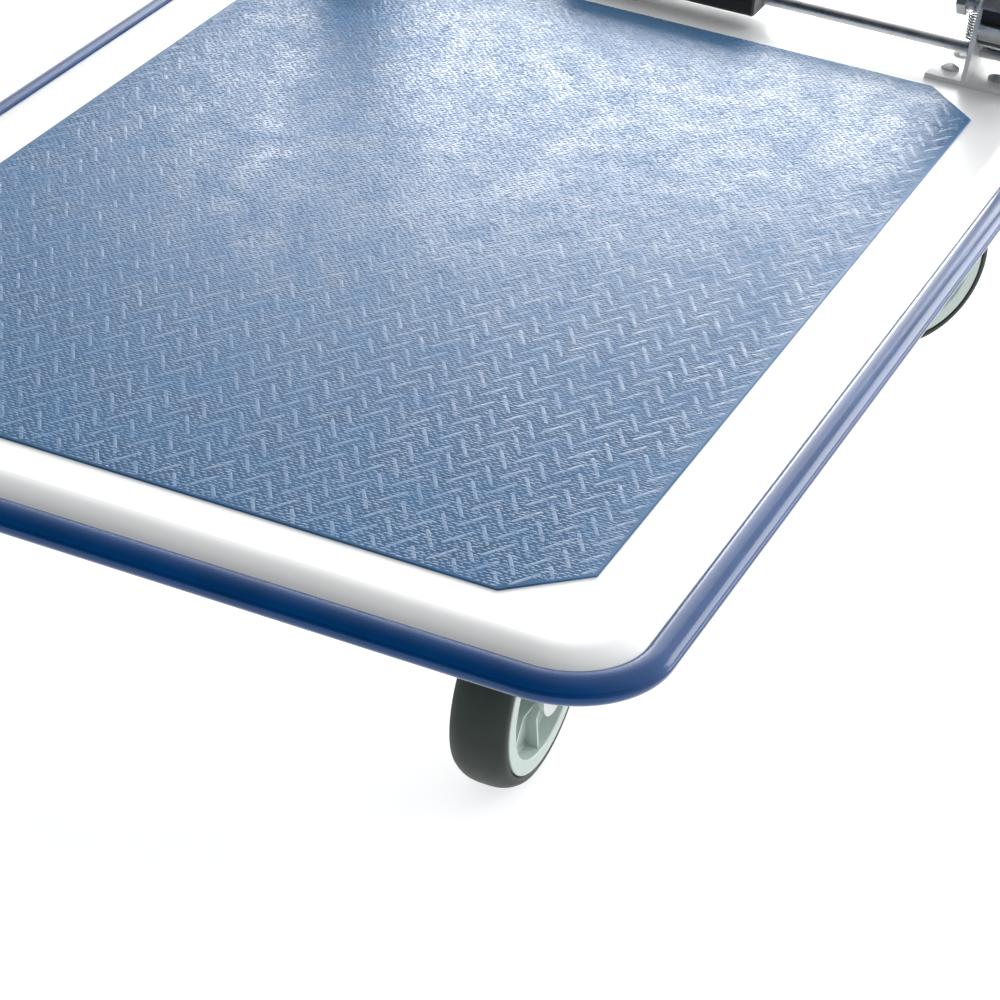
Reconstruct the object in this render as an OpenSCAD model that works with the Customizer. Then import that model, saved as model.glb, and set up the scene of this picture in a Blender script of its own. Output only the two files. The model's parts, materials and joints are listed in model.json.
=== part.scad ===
// Folding platform cart: a pressed steel deck on two fixed and two swivel casters,
// with a soft bumper round the edge, a grooved mat on top and a tube handle that folds
// down over the deck when the spring-held foot bar is pressed.
// The cart's centre stands on the floor at the origin; +X is forward, away from the handle.

/* [Deck] */
// Length over the bumper
deck_l = 780; // [650:5:950]
// Width over the bumper
deck_w = 525; // [430:5:650]
// Corner radius of the bumper's outermost line, seen from above
corner_r = 51.5; // [40:0.5:80]
// Thickness of the pressed sheet
sheet_t = 1.5; // [1:0.1:2]
// Radius that rolls the top down into the skirt
edge_r = 19; // [15:0.5:24]
// Height of the pressed deck, skirt included
pan_depth = 20; // [18:0.5:26]
// Width of the flat lip turned in under the skirt
lip_w = 10; // [6:0.5:14]

/* [Bumper] */
// Radius of the bumper's round bead
bead_r = 7.5; // [5:0.5:9]
// How far the bead's centre sits below the mat's top
bead_drop = 12; // [11:0.5:13]

/* [Mat] */
// Thickness of the mat
mat_t = 1.5; // [1:0.1:3]
// From the bumper's outermost line to the mat, at the front and the sides
mat_margin = 50; // [42:1:70]
// From the bumper's outermost line to the mat, at the handle end
mat_rear_margin = 97; // [90:1:130]
// Leg of the mat's cut corners
mat_chamfer = 33; // [10:1:45]

/* [Wheels] */
// Wheel diameter
wheel_d = 108; // [90:1:130]
// Width over the tyre
tyre_w = 30; // [26:1:36]
// Thickness of the tyre at the middle of the tread
tyre_t = 9.2; // [7:0.1:12]
// How far the tread falls away at its shoulders
tread_crown = 5.4; // [1:0.1:6]
// Thickness of the wheel core's rim
rim_t = 7.4; // [3:0.1:9]
// Thickness of the core's web round the hub
web_t = 4; // [3:0.5:6]
// Thickness of the web outside the recess round the hub
shelf_t = 12; // [6:0.5:16]
// Radius of the recess round the hub
recess_r = 21; // [18:0.5:26]
// Ribs on each side of the web
rib_count = 6; // [3:1:8]
// Thickness of a rib
rib_t = 1.8; // [1.2:0.1:3]
// Radius of the core's hub
hub_r = 11; // [10:0.5:14]

/* [Casters] */
// Front bumper line to the front axles
front_inset = 142.5; // [110:0.5:180]
// Rear bumper line to the swivel axes
rear_inset = 142.5; // [140:0.5:180]
// Side bumper line to the casters' centre planes
side_inset = 102; // [80:0.5:130]
// Swivel axis to the wheel's axle
trail = 38; // [28:0.5:38]
// Angle at which the swivel casters stand
swivel_angle = -37.7; // [-60:0.1:60]
// Length of a caster's top plate
plate_l = 92; // [88:1:98]
// Width of a caster's top plate
plate_w = 66; // [62:1:80]
// Thickness of the top plate
plate_t = 3; // [2:0.5:4]
// Thickness of the fork sheet
fork_t = 2.5; // [2:0.1:3.5]
// Radius of the fork's end round the axle
fork_end_r = 15; // [12:0.5:17]
// Radius of the axle bolt
axle_r = 4; // [3:0.5:4.5]
// Radius of the tube that the wheel turns on
bush_r = 6; // [5.5:0.1:7]
// Radius of a bearing ball in the swivel head
ball_r = 3; // [2.5:0.1:3.5]
// Radius of the ball track
track_r = 22; // [20:0.5:24]
// Radius of the kingpin
kingpin_r = 6; // [5:0.5:8]

/* [Handle] */
// Pivot to the middle of the handle's top bar
handle_len = 640; // [450:5:650]
// Radius of the handle tube
tube_r = 12.5; // [10:0.5:13]
// Wall of the handle tube
tube_wall = 1.5; // [1:0.1:2.5]
// Bend radius of the handle's upper corners
bend_r = 75; // [50:1:100]
// Lean of the upright handle, away from the deck, in degrees
lean = 3; // [1:0.5:4]
// Length of the soft grip on the top bar
grip_l = 180; // [100:5:200]
// Thickness of the grip sleeve
grip_t = 4; // [2:0.5:5]

/* [Hinge] */
// Rear bumper line to the handle's pivot
pivot_inset = 57.5; // [54:0.5:60]
// Side bumper line to the middle of each leg
leg_inset = 52.5; // [48:0.5:70]
// Pivot above the deck's top
pivot_h = 41.5; // [40:0.5:50]
// Radius of the latch knuckle
knuckle_r = 24; // [22:0.5:24]
// Width of the latch knuckle
knuckle_w = 28; // [26:0.5:32]
// Thickness of the hinge brackets
ear_t = 3; // [2:0.5:4]
// Radius of the pivot bolt
pivot_r = 5; // [4:0.5:6]
// Radius of the foot bar
bar_r = 4; // [3:0.5:4.5]
// Travel of the foot bar between latched and pressed
bar_travel = 6; // [4:0.5:6]
// Width of the pedal
pedal_w = 120; // [80:5:200]

/* [Hidden] */
$fn = 64;
run_gap = 0.06;      // radial clearance of a shaft in its bore
seat_gap = 0.4;      // clearance between pieces that slide past each other
hole_gap = 0.25;     // clearance of a fastener in its hole
notch_play = 0.9;    // room on each side of the foot bar between two lugs
sink = 0.6;          // how far joined shapes of one solid reach into each other

// heights, from the floor up
wheel_r = wheel_d / 2;
pin_head_z = wheel_d + 3;
pin_head_t = 3;
cup_t = 4;
crown_z = pin_head_z + pin_head_t + cup_t;
crown_t = 6;
race_gap = 4.5;
race_t = 5;
plate_z = crown_z + crown_t + race_gap + race_t;
caster_h = plate_z + plate_t;
channel_h = 19.5;
deck_top = caster_h + channel_h + sheet_t;
mat_top = deck_top + mat_t;
ball_z = crown_z + crown_t + race_gap / 2;

// deck edge section: x runs outward from the centre of the plan's corner arc
flat_x = corner_r - bead_r - edge_r;
skirt_x = flat_x + edge_r;
edge_z = deck_top - edge_r;
skirt_z = deck_top - pan_depth;
bead_z = mat_top - bead_drop;

// places of the casters
front_x = deck_l / 2 - front_inset;
rear_x = rear_inset - deck_l / 2;
caster_y = deck_w / 2 - side_inset;
hub_w = tyre_w;
hub_gap = 1;
fork_in = hub_w / 2 + hub_gap;
fork_out = fork_in + fork_t;
core_r = wheel_r - tyre_t;
lip_r = track_r + 8;
bolt_x = plate_l / 2 - 9;
bolt_y = plate_w / 2 - 10;
m8 = 4;
m8_head_h = 5.3;
m8_hex_r = 7.5;
m8_nut_h = 6.5;
bolt_spots = [for (sx = [-1, 1], sy = [-1, 1]) [sx * bolt_x, sy * bolt_y]];
caster_spots = [for (x = [front_x, rear_x], s = [-1, 1]) [x, s * caster_y]];

// stiffening channels under the deck
channel_w = plate_l + 8;
channel_flange = 10;
channel_len = deck_w - 2 * corner_r + 16;
rib_w = 60;
rib_h = 12;

// handle and hinge
pivot_x = pivot_inset - deck_l / 2;
pivot_z = deck_top + pivot_h;
leg_y = deck_w / 2 - leg_inset;
ear_in = knuckle_w / 2 + 0.5;
ear_out = ear_in + ear_t;
ear_r = 15;
base_half = 28;
base_inner = 22;
neck_h = knuckle_r + 2;
spigot_h = 44;
stop_r = 4;
stop_h = neck_h + 4;
stop_x = -(stop_h * tan(lean) + tube_r / cos(lean) + stop_r + 0.3);
stop_ear_r = 8;
bar_drop = knuckle_r + bar_r + seat_gap;
bar_z = pivot_z - bar_drop;
flat_z = bar_travel - bar_drop + bar_r + seat_gap;
fold_angle = 90 + lean;
spring_r = 4;
spring_w = 2 * spring_r;
spring_y = leg_y - ear_out - 0.5 - spring_r;
bar_end_y = leg_y + ear_out + 6;
m6 = 3;
m6_head_r = 5.5;
m6_head_h = 3.2;
m6_nut_h = 5;
m6_hex_r = 5.8;
bracket_bolt_dx = 12;
bracket_bolt_dy = ear_out + 11;

// ---------------------------------------------------------------- helpers

// A rectangle with round corners, centred on the origin.
module round_rect(l, w, r) {
    square([l - 2 * r, w], center = true);
    square([l, w - 2 * r], center = true);
    for (sx = [-1, 1], sy = [-1, 1])
        translate([sx * (l / 2 - r), sy * (w / 2 - r)]) circle(r);
}

// Sweeps a section round the deck's plan. The section's x is the distance from the
// centre of a corner arc, and its y is the height.
module round_deck() {
    half_l = deck_l / 2 - corner_r;
    half_w = deck_w / 2 - corner_r;
    for (s = [0, 180]) {
        rotate([0, 0, s]) translate([half_l, half_w, 0])
            rotate([90, 0, 0]) linear_extrude(2 * half_w) children();
        rotate([0, 0, s + 90]) translate([half_w, half_l, 0])
            rotate([90, 0, 0]) linear_extrude(2 * half_l) children();
        rotate([0, 0, s]) translate([half_l, half_w, 0])
            rotate_extrude(angle = 90, $fn = 96) children();
        rotate([0, 0, s + 90]) translate([half_w, half_l, 0])
            rotate_extrude(angle = 90, $fn = 96) children();
    }
}

// A tube or rod along Y, centred on the origin.
module rod_y(r, len) {
    rotate([90, 0, 0]) cylinder(r = r, h = len, center = true);
}

// A hexagon prism standing on the origin; r is to its corners.
module hex_z(r, h) {
    cylinder(r = r, h = h, $fn = 6);
}

module at_casters(spots) {
    for (p = spots) translate([p.x, p.y, 0]) children();
}

// Puts a swivel caster's pieces at its axis, turned as it stands.
module at_swivel(side) {
    translate([rear_x, side * caster_y, 0]) rotate([0, 0, swivel_angle]) children();
}

module at_swivel_wheel(side) {
    at_swivel(side) translate([-trail, 0, wheel_r]) children();
}

module at_front_wheel(side) {
    translate([front_x, side * caster_y, wheel_r]) children();
}

// Puts a leg's pieces at its pivot; the second form leans them with the handle.
module at_pivot(side) {
    translate([pivot_x, side * leg_y, pivot_z]) children();
}

module at_leg(side) {
    at_pivot(side) rotate([0, -lean, 0]) children();
}

// ---------------------------------------------------------------- deck

module deck_edge_section() {
    intersection() {
        translate([flat_x, edge_z]) difference() {
            circle(edge_r, $fn = 96);
            circle(edge_r - sheet_t, $fn = 96);
        }
        translate([flat_x, edge_z]) square(edge_r);
    }
    translate([flat_x - sink, deck_top - sheet_t]) square([2 * sink, sheet_t]);
    translate([skirt_x - sheet_t, skirt_z]) square([sheet_t, edge_z - skirt_z + sink]);
    translate([skirt_x - lip_w, skirt_z]) square([lip_w, sheet_t]);
}

module deck_pan() {
    inset = corner_r - flat_x;
    color("whitesmoke") difference() {
        union() {
            round_deck() deck_edge_section();
            translate([0, 0, deck_top - sheet_t]) linear_extrude(sheet_t)
                round_rect(deck_l - 2 * inset, deck_w - 2 * inset, flat_x);
        }
        bracket_bolt_holes();
    }
}

module deck_mat() {
    x1 = deck_l / 2 - mat_margin;
    x0 = mat_rear_margin - deck_l / 2;
    y1 = deck_w / 2 - mat_margin;
    c = mat_chamfer;
    color("steelblue") translate([0, 0, deck_top]) linear_extrude(mat_t)
        polygon([[x1 - c, -y1], [x1, c - y1], [x1, y1 - c], [x1 - c, y1],
                 [x0 + c, y1], [x0, y1 - c], [x0, c - y1], [x0 + c, -y1]]);
}

// The round bead that the deck's edge bites into.
module bumper_section() {
    difference() {
        translate([skirt_x, bead_z]) circle(bead_r, $fn = 96);
        translate([flat_x, edge_z]) circle(edge_r, $fn = 96);
        translate([0, edge_z - pan_depth]) square([skirt_x, pan_depth]);
    }
}

module bumper() {
    color("midnightblue") difference() {
        round_deck() bumper_section();
        seam_clip_body();
    }
}

// A moulded sleeve that covers the bumper's butt joint, in the middle of the handle end.
module bumper_seam_clip() {
    color("midnightblue") seam_clip_body();
}

module seam_clip_body() {
    clip_w = 26;
    clip_t = 1;
    translate([corner_r - deck_l / 2, 0, 0]) rotate([90, 0, 180])
        linear_extrude(clip_w, center = true) intersection() {
            difference() {
                translate([skirt_x, bead_z]) circle(bead_r, $fn = 96);
                translate([skirt_x, bead_z]) circle(bead_r - clip_t, $fn = 96);
            }
            translate([skirt_x + 1, bead_z - bead_r]) square(2 * bead_r);
        }
}

// Hat section that opens upward: its flanges are spot-welded to the deck.
module hat_section(w, h, flange) {
    translate([-w / 2, -h]) square([w, sheet_t]);
    for (s = [-1, 1]) {
        translate([s * (w - sheet_t) / 2 - sheet_t / 2, -h]) square([sheet_t, h]);
        translate([s * (w + flange - sheet_t) / 2 - flange / 2, -sheet_t])
            square([flange, sheet_t]);
    }
}

module caster_channel(x) {
    color("whitesmoke") difference() {
        translate([x, 0, deck_top - sheet_t]) rotate([90, 0, 0])
            linear_extrude(channel_len, center = true)
                hat_section(channel_w, channel_h, channel_flange);
        for (s = [-1, 1]) translate([x, s * caster_y, caster_h])
            bolt_holes(m8 + hole_gap, 3 * sheet_t);
        for (s = [-1, 1]) translate([x, s * caster_y, caster_h - 1])
            cylinder(r = kingpin_r + 3, h = sheet_t + 2);
    }
}

module bolt_holes(r, h) {
    for (p = bolt_spots) translate([p.x, p.y, -h / 2]) cylinder(r = r, h = h);
}

module centre_rib() {
    reach = channel_w / 2 + channel_flange + 1;
    x0 = rear_x + reach;
    x1 = front_x - reach;
    color("whitesmoke") translate([x0, 0, deck_top - sheet_t]) rotate([90, 0, 90])
        linear_extrude(x1 - x0) hat_section(rib_w, rib_h, channel_flange);
}

// ---------------------------------------------------------------- wheels

// Half the tyre's section: x is the radius, y runs along the axle.
module tyre_section() {
    half = tyre_w / 2;
    steps = 12;
    crown = [for (i = [-steps:steps]) let (u = i / steps)
        [wheel_r - tread_crown * pow(abs(u), 3), u * half]];
    polygon(concat([[core_r, half - 1.4]], [for (i = [2 * steps:-1:0]) crown[i]],
                   [[core_r, 1.4 - half]]));
}

module tyre() {
    color([0.2, 0.22, 0.21]) rotate([90, 0, 0])
        rotate_extrude($fn = 128) tyre_section();
}

// A rib from the hub to the rim, standing out on both faces of the web. Its edges dip
// where they leave the recess round the hub.
module rib_section() {
    r0 = hub_r - 1;
    r1 = core_r - rim_t + 1;
    top = tyre_w / 2 - 2;
    dip = 2.5;
    polygon([[r0, -top], [recess_r, dip - top], [r1, -top],
             [r1, top], [recess_r, top - dip], [r0, top]]);
}

module wheel_core() {
    half = tyre_w / 2 - 1.4;
    color([0.78, 0.82, 0.8]) difference() {
        union() {
            rotate([90, 0, 0]) difference() {
                cylinder(r = core_r, h = 2 * half, center = true, $fn = 128);
                cylinder(r = core_r - rim_t, h = 2 * half + 2, center = true, $fn = 128);
            }
            rod_y(core_r - rim_t + sink, web_t);
            difference() {
                rod_y(core_r - rim_t + sink, shelf_t);
                rod_y(recess_r, shelf_t + 2);
            }
            rod_y(hub_r, hub_w);
            for (i = [0:rib_count - 1]) rotate([0, 360 * i / rib_count + 30, 0])
                linear_extrude(rib_t, center = true) rib_section();
        }
        rod_y(bush_r + run_gap, hub_w + 2);
    }
}

// ---------------------------------------------------------------- casters

module caster_plate() {
    difference() {
        translate([0, 0, plate_z]) linear_extrude(plate_t) round_rect(plate_l, plate_w, 8);
        translate([0, 0, plate_z + plate_t / 2]) bolt_holes(m8 + hole_gap, plate_t + 2);
    }
}

// One side of a fork: top edge between x0 and x1 at height z, rounded end at the axle.
module fork_side(x0, x1, z, axle_x) {
    difference() {
        union() {
            polygon([[x0, z], [x1, z], [x1, z - 8],
                     [axle_x + fork_end_r, wheel_r], [axle_x - fork_end_r, wheel_r],
                     [x0, z - 8]]);
            translate([axle_x, wheel_r]) circle(fork_end_r);
        }
        translate([axle_x, wheel_r]) circle(axle_r + run_gap);
    }
}

module fork_sides(x0, x1, z, axle_x) {
    for (s = [-1, 1]) translate([0, s * (fork_in + fork_t / 2), 0]) rotate([90, 0, 0])
        linear_extrude(fork_t, center = true) fork_side(x0, x1, z, axle_x);
}

module fixed_fork(side) {
    color("silver") translate([front_x, side * caster_y, 0]) {
        caster_plate();
        fork_sides(-28, 28, plate_z + sink, 0);
    }
}

module axle_bolt() {
    head = 4.5;
    reach = fork_out + 0.1;
    color("silver") {
        translate([0, 3, 0]) rod_y(axle_r, 2 * reach + 6);
        translate([0, -reach, 0]) rotate([90, 0, 0]) hex_z(6.6, head);
    }
}

module axle_nut() {
    nut_h = 5.5;
    color("silver") translate([0, fork_out + 0.1, 0]) rotate([-90, 0, 0]) difference() {
        hex_z(6.6, nut_h);
        translate([0, 0, -1]) cylinder(r = axle_r, h = nut_h + 2);
    }
}

module axle_bush() {
    color("gray") difference() {
        rod_y(bush_r, 2 * fork_in);
        rod_y(axle_r + run_gap, 2 * fork_in + 2);
    }
}

module top_plate(side) {
    color("silver") translate([rear_x, side * caster_y, 0]) difference() {
        union() {
            caster_plate();
            translate([0, 0, plate_z - race_t])
                cylinder(r = track_r + 4, h = race_t + sink);
        }
        cylinder(r = kingpin_r, h = 3 * caster_h, center = true);
        translate([0, 0, plate_z - race_t - 1]) cylinder(r = track_r - 5, h = race_t + 1);
        ball_track();
    }
}

// The groove that the balls run in, cut from both races.
module ball_track() {
    rotate_extrude($fn = 96) translate([track_r, ball_z]) circle(ball_r + run_gap, $fn = 32);
}

module balls(side) {
    n = floor(2 * 180 / (2 * asin((ball_r + 0.3) / track_r)));
    color("gainsboro") translate([rear_x, side * caster_y, ball_z])
        for (i = [0:n - 1]) rotate([0, 0, 360 * i / n]) translate([track_r, 0, 0])
            sphere(ball_r, $fn = 24);
}

module kingpin(side) {
    color("gray") translate([rear_x, side * caster_y, 0]) {
        translate([0, 0, pin_head_z]) cylinder(r = kingpin_r + 5, h = pin_head_t);
        translate([0, 0, pin_head_z]) cylinder(r = kingpin_r, h = caster_h - pin_head_z);
        translate([0, 0, caster_h]) cylinder(r = kingpin_r + 2, h = 2);
    }
}

module yoke() {
    color("silver") {
        difference() {
            union() {
                translate([0, 0, crown_z]) cylinder(r = lip_r, h = crown_t);
                fork_sides(-22, 22, crown_z + sink, -trail);
                translate([0, 0, crown_z + crown_t - sink]) difference() {
                    cylinder(r = lip_r, h = race_gap + 3 + sink);
                    translate([0, 0, -1]) cylinder(r = lip_r - 2.5, h = race_gap + 6);
                }
            }
            translate([0, 0, crown_z - 1]) cylinder(r = kingpin_r + run_gap, h = crown_t + 2);
            ball_track();
        }
    }
}

module lower_cup() {
    color("gray") translate([0, 0, pin_head_z + pin_head_t + 0.1]) difference() {
        cylinder(r = kingpin_r + 9, h = cup_t - 0.1);
        translate([0, 0, -1]) cylinder(r = kingpin_r + run_gap, h = cup_t + 2);
    }
}

module caster_bolts() {
    color("silver") at_casters(caster_spots) for (p = bolt_spots)
        translate([p.x, p.y, plate_z]) {
            translate([0, 0, -m8_head_h]) hex_z(m8_hex_r, m8_head_h);
            translate([0, 0, -1]) cylinder(r = m8, h = plate_t + sheet_t + m8_nut_h + 2);
        }
}

module caster_nuts() {
    color("silver") at_casters(caster_spots) for (p = bolt_spots)
        translate([p.x, p.y, caster_h + sheet_t]) difference() {
            hex_z(m8_hex_r, m8_nut_h);
            translate([0, 0, -1]) cylinder(r = m8, h = m8_nut_h + 2);
        }
}

// ---------------------------------------------------------------- hinge and handle

module slot_2d(r, len) {
    circle(r);
    translate([0, len]) circle(r);
    translate([-r, 0]) square([2 * r, len]);
}

// An ear of the hinge bracket, drawn about the pivot.
module ear_2d() {
    foot = -pivot_h;
    difference() {
        union() {
            circle(ear_r);
            translate([stop_x, stop_h]) circle(stop_ear_r);
            polygon([[-base_half, foot], [base_half, foot], [base_half, foot + 8],
                     [ear_r, 0], [0, ear_r], [stop_x + stop_ear_r, stop_h],
                     [stop_x - stop_ear_r, stop_h], [-base_half, foot + 30]]);
        }
        circle(pivot_r + run_gap);
        translate([stop_x, stop_h]) circle(stop_r);
        translate([0, -bar_drop]) slot_2d(bar_r + hole_gap, bar_travel);
    }
}

module hinge_bracket(side) {
    color("whitesmoke") difference() {
        union() {
            for (s = [-1, 1]) at_pivot(side) translate([0, s * (ear_in + ear_t / 2), 0])
                rotate([90, 0, 0]) linear_extrude(ear_t, center = true) ear_2d();
            translate([pivot_x, side * (leg_y - base_inner / 2), deck_top + ear_t / 2])
                cube([2 * base_half, 2 * ear_out + base_inner, ear_t], center = true);
        }
        bracket_bolt_holes();
    }
}

bracket_bolt_spots = [for (side = [-1, 1], dx = [-1, 1], dy = [0, 1])
    [pivot_x + dx * bracket_bolt_dx, side * (leg_y - dy * bracket_bolt_dy)]];

module bracket_bolt_holes() {
    for (p = bracket_bolt_spots) translate([p.x, p.y, deck_top - sheet_t - 1])
        cylinder(r = m6 + hole_gap, h = sheet_t + ear_t + 2);
}

module bracket_bolts() {
    color("silver") for (p = bracket_bolt_spots) translate([p.x, p.y, deck_top + ear_t]) {
        intersection() {
            cylinder(r = m6_head_r, h = m6_head_h);
            translate([0, 0, m6_head_h - 8]) sphere(8);
        }
        translate([0, 0, -ear_t - sheet_t - m6_nut_h - 1])
            cylinder(r = m6, h = ear_t + sheet_t + m6_nut_h + 2);
    }
}

module bracket_nuts() {
    color("silver") for (p = bracket_bolt_spots)
        translate([p.x, p.y, deck_top - sheet_t - m6_nut_h]) difference() {
            hex_z(m6_hex_r, m6_nut_h);
            translate([0, 0, -1]) cylinder(r = m6, h = m6_nut_h + 2);
        }
}

hinge_nut_h = 6;

// Bolts through both ears and the knuckle; the springs hang on their inner ends.
module hinge_bolts() {
    inner = ear_out + 0.5 + spring_w + 0.5 + hinge_nut_h + 1;
    color("silver") for (side = [-1, 1]) at_pivot(side) {
        translate([0, side * (ear_out - inner) / 2, 0]) rod_y(pivot_r, ear_out + inner);
        translate([0, side * ear_out, 0]) rotate([-side * 90, 0, 0]) hex_z(9, 5);
    }
}

module hinge_nuts() {
    color("silver") for (side = [-1, 1])
        at_pivot(side) translate([0, -side * (ear_out + 1 + spring_w), 0])
            rotate([side * 90, 0, 0]) difference() {
                hex_z(9, hinge_nut_h);
                translate([0, 0, -1]) cylinder(r = pivot_r, h = hinge_nut_h + 2);
            }
}

module stop_pins() {
    color("silver") for (side = [-1, 1]) at_pivot(side) translate([stop_x, 0, stop_h]) {
        rod_y(stop_r, 2 * ear_out + 2);
        for (s = [-1, 1]) translate([0, s * (ear_out + 1), 0]) rod_y(stop_r + 2, 2);
    }
}

// The knuckle turns on the pivot bolt. Two flats cut its rim, for the upright and the
// folded handle.
module knuckle(side) {
    color([0.25, 0.25, 0.27]) difference() {
        at_leg(side) union() {
            rod_y(knuckle_r, knuckle_w);
            cylinder(r = tube_r, h = neck_h);
            cylinder(r = tube_r - tube_wall, h = neck_h + spigot_h);
        }
        at_leg(side) rod_y(pivot_r + run_gap, knuckle_w + 2);
        at_notches(side) translate([0, 0, flat_z - knuckle_r])
            cube([2 * knuckle_r, knuckle_w + 2, 2 * knuckle_r], center = true);
        knuckle_rivet_holes();
    }
}

// Puts a shape that is drawn for the upright notch at that notch and at the folded one.
module at_notches(side) {
    for (turn = [0, fold_angle]) at_pivot(side) rotate([0, -turn, 0]) children();
}

// Steel lugs on the knuckle's flats. The foot bar rises between each pair of them.
module catch_lugs(side) {
    notch_half = bar_r + notch_play;
    color("silver") at_notches(side) intersection() {
        rod_y(knuckle_r, knuckle_w);
        for (s = [-1, 1])
            translate([s * (notch_half + knuckle_r) / 2, 0, (flat_z - knuckle_r) / 2])
                cube([knuckle_r - notch_half, knuckle_w, knuckle_r + flat_z], center = true);
    }
}

rivet_r = 2.5;

module at_rivets() {
    for (side = [-1, 1], z = [12, 30]) at_leg(side) translate([0, 0, neck_h + z]) children();
}

module knuckle_rivet_holes() {
    at_rivets() rod_y(rivet_r, 4 * tube_r);
}

module knuckle_rivets() {
    color("silver") at_rivets() {
        rod_y(rivet_r, 2 * tube_r + 2);
        for (s = [-1, 1]) translate([0, s * (tube_r + 1.2), 0]) intersection() {
            rod_y(rivet_r + 2, 2.4);
            sphere(rivet_r + 2.2);
        }
    }
}

// The handle: two legs, two bends and a top bar, of one bent tube.
module handle_tube() {
    leg_top = handle_len - bend_r;
    color("navy") difference() {
        translate([pivot_x, 0, pivot_z]) rotate([0, -lean, 0]) {
            for (s = [-1, 1]) {
                translate([0, s * leg_y, neck_h]) tube_z(leg_top - neck_h);
                translate([0, s * (leg_y - bend_r), leg_top]) rotate([90, 0, s * 90])
                    rotate_extrude(angle = 90, $fn = 96) translate([bend_r, 0]) tube_2d();
            }
            translate([0, leg_y - bend_r, handle_len]) rotate([90, 0, 0])
                tube_z(2 * (leg_y - bend_r));
        }
        knuckle_rivet_holes();
    }
}

module tube_2d() {
    difference() {
        circle(tube_r);
        circle(tube_r - tube_wall);
    }
}

module tube_z(len) {
    linear_extrude(len) tube_2d();
}

module handle_grip() {
    color([0.12, 0.12, 0.13]) translate([pivot_x, 0, pivot_z]) rotate([0, -lean, 0])
        translate([0, 0, handle_len]) difference() {
            rod_y(tube_r + grip_t, grip_l);
            rod_y(tube_r, grip_l + 2);
        }
}

// ---------------------------------------------------------------- foot release

module release_bar() {
    color("silver") translate([pivot_x, 0, bar_z]) rod_y(bar_r, 2 * bar_end_y);
}

module pedal() {
    pad_l = 44;
    pad_t = 12;
    color([0.12, 0.12, 0.13]) translate([pivot_x, 0, bar_z]) difference() {
        rotate([90, 0, 0]) linear_extrude(pedal_w, center = true)
            translate([0, pad_t / 2 - bar_r - 1.5]) round_rect(pad_l, pad_t, 4);
        rod_y(bar_r, pedal_w + 2);
    }
}

module bar_clips() {
    color("gray") for (s = [-1, 1]) translate([pivot_x, s * (bar_end_y - 2.5), bar_z])
        difference() {
            rod_y(bar_r + 2.5, 1.2);
            rod_y(bar_r, 4);
        }
}

// Extension springs, drawn as their outer shape: a coil with a loop at each end.
module release_springs() {
    loop_t = 1.4;
    bolt_loop = pivot_r + loop_t + hole_gap;
    bar_loop = bar_r + loop_t + hole_gap;
    color("silver") for (s = [-1, 1]) translate([pivot_x, s * spring_y, 0]) difference() {
        union() {
            translate([0, 0, pivot_z]) rod_y(bolt_loop, loop_t);
            translate([0, 0, bar_z]) rod_y(bar_loop, loop_t);
            translate([0, 0, bar_z + bar_loop - sink])
                cylinder(r = spring_r, h = bar_drop - bolt_loop - bar_loop + 2 * sink);
        }
        translate([0, 0, pivot_z]) rod_y(pivot_r + hole_gap, spring_w + 2);
        translate([0, 0, bar_z]) rod_y(bar_r + hole_gap, spring_w + 2);
    }
}

// ---------------------------------------------------------------- nodes

deck_pan();
deck_mat();
bumper();
bumper_seam_clip();
caster_channel(front_x);  // front_channel
caster_channel(rear_x);  // rear_channel
centre_rib();
caster_bolts();
caster_nuts();

fixed_fork(1);  // front_left_fork
fixed_fork(-1);  // front_right_fork
for (s = [-1, 1]) at_front_wheel(s) axle_bolt();  // front_axle_bolts
for (s = [-1, 1]) at_front_wheel(s) axle_nut();  // front_axle_nuts
for (s = [-1, 1]) at_front_wheel(s) axle_bush();  // front_axle_bushes
at_front_wheel(1) wheel_core();  // front_left_core
at_front_wheel(1) tyre();  // front_left_tyre
at_front_wheel(-1) wheel_core();  // front_right_core
at_front_wheel(-1) tyre();  // front_right_tyre

top_plate(1);  // rear_left_top_plate
top_plate(-1);  // rear_right_top_plate
balls(1);  // rear_left_balls
balls(-1);  // rear_right_balls
kingpin(1);  // rear_left_kingpin
kingpin(-1);  // rear_right_kingpin

at_swivel(1) yoke();  // rear_left_yoke
at_swivel(1) lower_cup();  // rear_left_lower_cup
at_swivel_wheel(1) axle_bolt();  // rear_left_axle_bolt
at_swivel_wheel(1) axle_nut();  // rear_left_axle_nut
at_swivel_wheel(1) axle_bush();  // rear_left_bush
at_swivel_wheel(1) wheel_core();  // rear_left_core
at_swivel_wheel(1) tyre();  // rear_left_tyre
at_swivel(-1) yoke();  // rear_right_yoke
at_swivel(-1) lower_cup();  // rear_right_lower_cup
at_swivel_wheel(-1) axle_bolt();  // rear_right_axle_bolt
at_swivel_wheel(-1) axle_nut();  // rear_right_axle_nut
at_swivel_wheel(-1) axle_bush();  // rear_right_bush
at_swivel_wheel(-1) wheel_core();  // rear_right_core
at_swivel_wheel(-1) tyre();  // rear_right_tyre

hinge_bracket(1);  // left_hinge_bracket
hinge_bracket(-1);  // right_hinge_bracket
hinge_bolts();
hinge_nuts();
stop_pins();
bracket_bolts();
bracket_nuts();
handle_tube();
handle_grip();
knuckle(1);  // left_knuckle
knuckle(-1);  // right_knuckle
catch_lugs(1);  // left_catch_lugs
catch_lugs(-1);  // right_catch_lugs
knuckle_rivets();
release_bar();
pedal();
bar_clips();
release_springs();
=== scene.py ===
# %% [markdown]
# # A folding platform cart
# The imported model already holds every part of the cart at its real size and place. This
# lesson dresses it: it gives each surface its finish, and it rebuilds the pieces whose
# look needs more shape than a plain engineering solid has, such as the ribbed mat, the
# soft bumper, the tyres and the springs. Lengths are in metres, and +X is the cart's
# front, away from the handle.

import json
import math

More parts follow.
